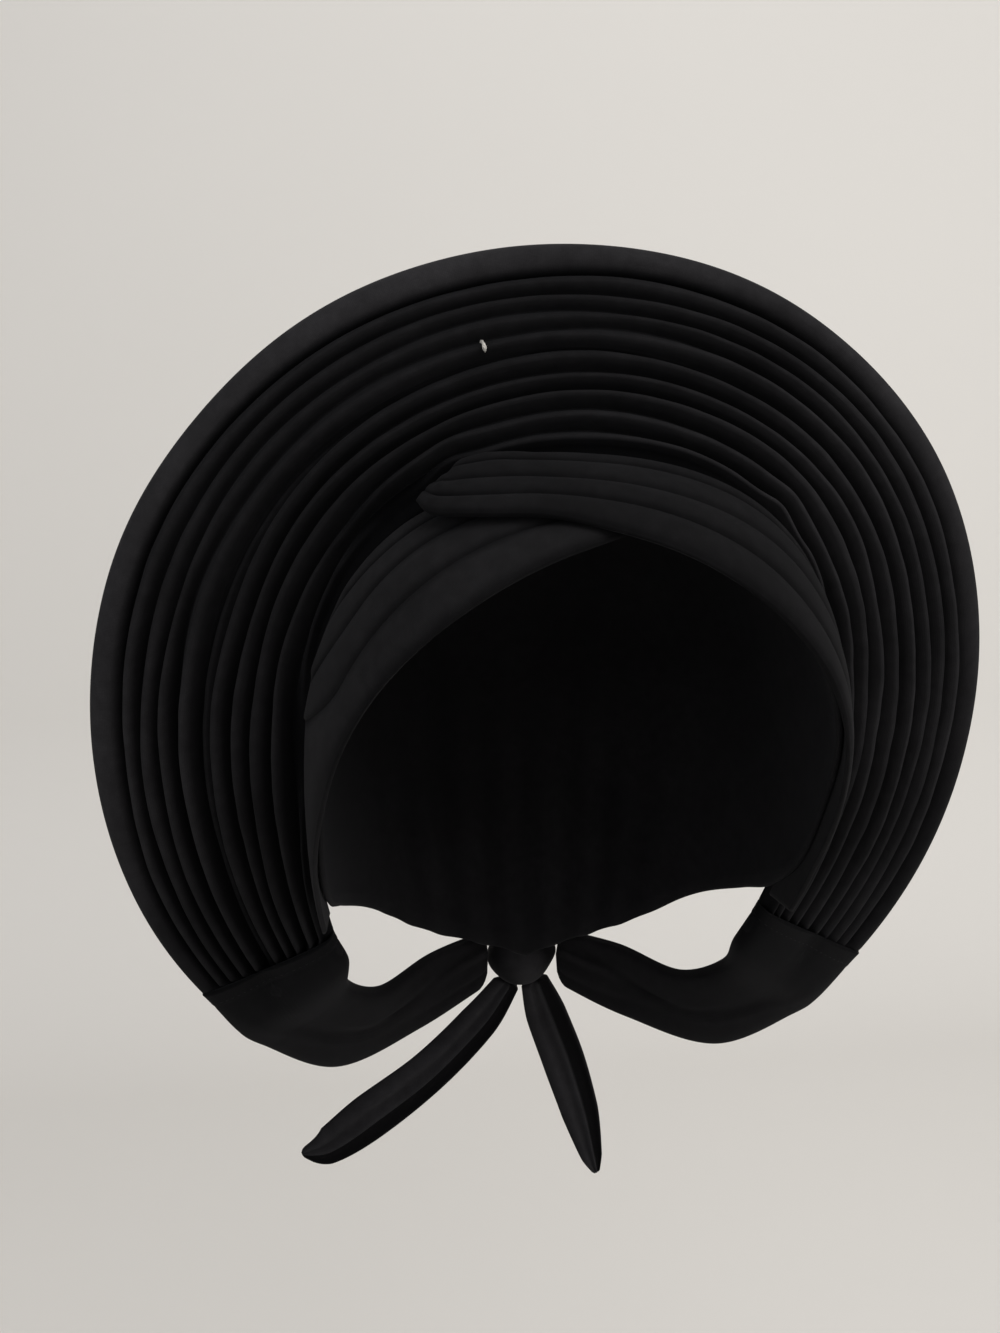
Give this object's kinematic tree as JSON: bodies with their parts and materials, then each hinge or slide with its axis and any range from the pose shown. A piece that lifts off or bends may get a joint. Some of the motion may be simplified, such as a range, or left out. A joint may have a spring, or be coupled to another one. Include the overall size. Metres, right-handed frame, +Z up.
{
  "type": "tied gele head tie",
  "caption": "Black cloth head tie worn like a hat: a close cap, crossed pleated front bands and a tall pleated fan from ear to ear, tied at the nape.",
  "frame": {"origin": "inside of the cap at the crown of the head, where the head tie sits on the wearer", "axes": "+X to the wearer's left, +Y to the back of the head, +Z up"},
  "size_m": [0.2915, 0.1756, 0.366],
  "materials": {
    "cap_cloth": "matt black crepe",
    "fan_cloth": "matt black crepe, pressed in pleats",
    "band_cloth": "matt black crepe, soft folds",
    "cover_cloth": "matt black crepe, plain",
    "tie_cloth": "matt black crepe, folded strip"
  },
  "bodies": {
    "root": {"crown_cap": "cap_cloth", "pleated_fan": "fan_cloth", "front_band_right": "band_cloth", "front_band_left": "band_cloth", "end_cover_right": "cover_cloth", "end_cover_left": "cover_cloth", "tie_knot": "tie_cloth", "tie_end_right": "tie_cloth", "tie_end_left": "tie_cloth"}
  },
  "joints": []
}
